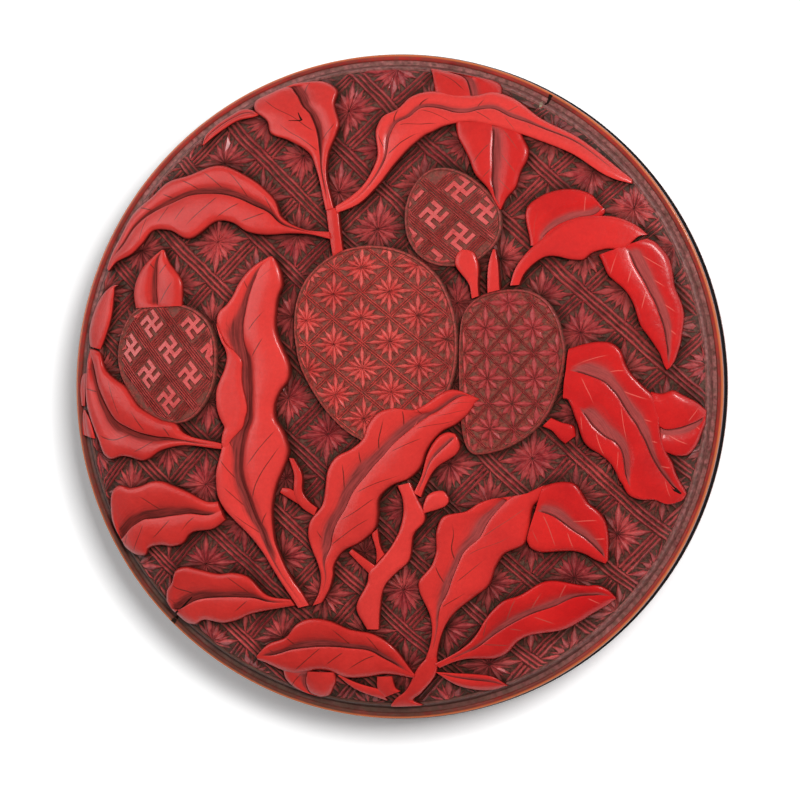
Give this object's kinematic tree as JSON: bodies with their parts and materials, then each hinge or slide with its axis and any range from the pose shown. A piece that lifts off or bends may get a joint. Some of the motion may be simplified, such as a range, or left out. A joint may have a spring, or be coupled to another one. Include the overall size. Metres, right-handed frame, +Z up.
{
  "type": "lacquer box",
  "caption": "Low round box in carved cinnabar lacquer on a wood core, with a domed lift-off cover carved with lychees and leaves, black lips and lining.",
  "frame": {"origin": "centre of the foot ring, on the table", "axes": "+Z up through the middle of the cover, +Y towards the top of the picture, +X to its right"},
  "size_m": [0.11, 0.11, 0.0367],
  "materials": {
    "cinnabar_lacquer": "satin carved red lacquer",
    "worn_cinnabar": "worn red lacquer",
    "black_lacquer": "glossy black lacquer",
    "wood_core": "bare turned wood, out of sight"
  },
  "bodies": {
    "base": {"base_wood_core": "wood_core", "base_carved_coat": "cinnabar_lacquer", "base_rim_bead": "worn_cinnabar", "base_mouth_lip": "black_lacquer", "base_inner_flange": "black_lacquer", "base_inner_lining": "black_lacquer", "base_foot_coat": "black_lacquer"},
    "cover": {"cover_wood_core": "wood_core", "cover_carved_coat": "cinnabar_lacquer", "cover_rim_bead": "worn_cinnabar", "cover_mouth_lip": "black_lacquer", "cover_inner_lining": "black_lacquer"}
  },
  "joints": [
    {"name": "cover_lift", "type": "slide", "parent": "base", "child": "cover", "axis": [0, 0, 1], "range_m": [0, 0.06]}
  ]
}
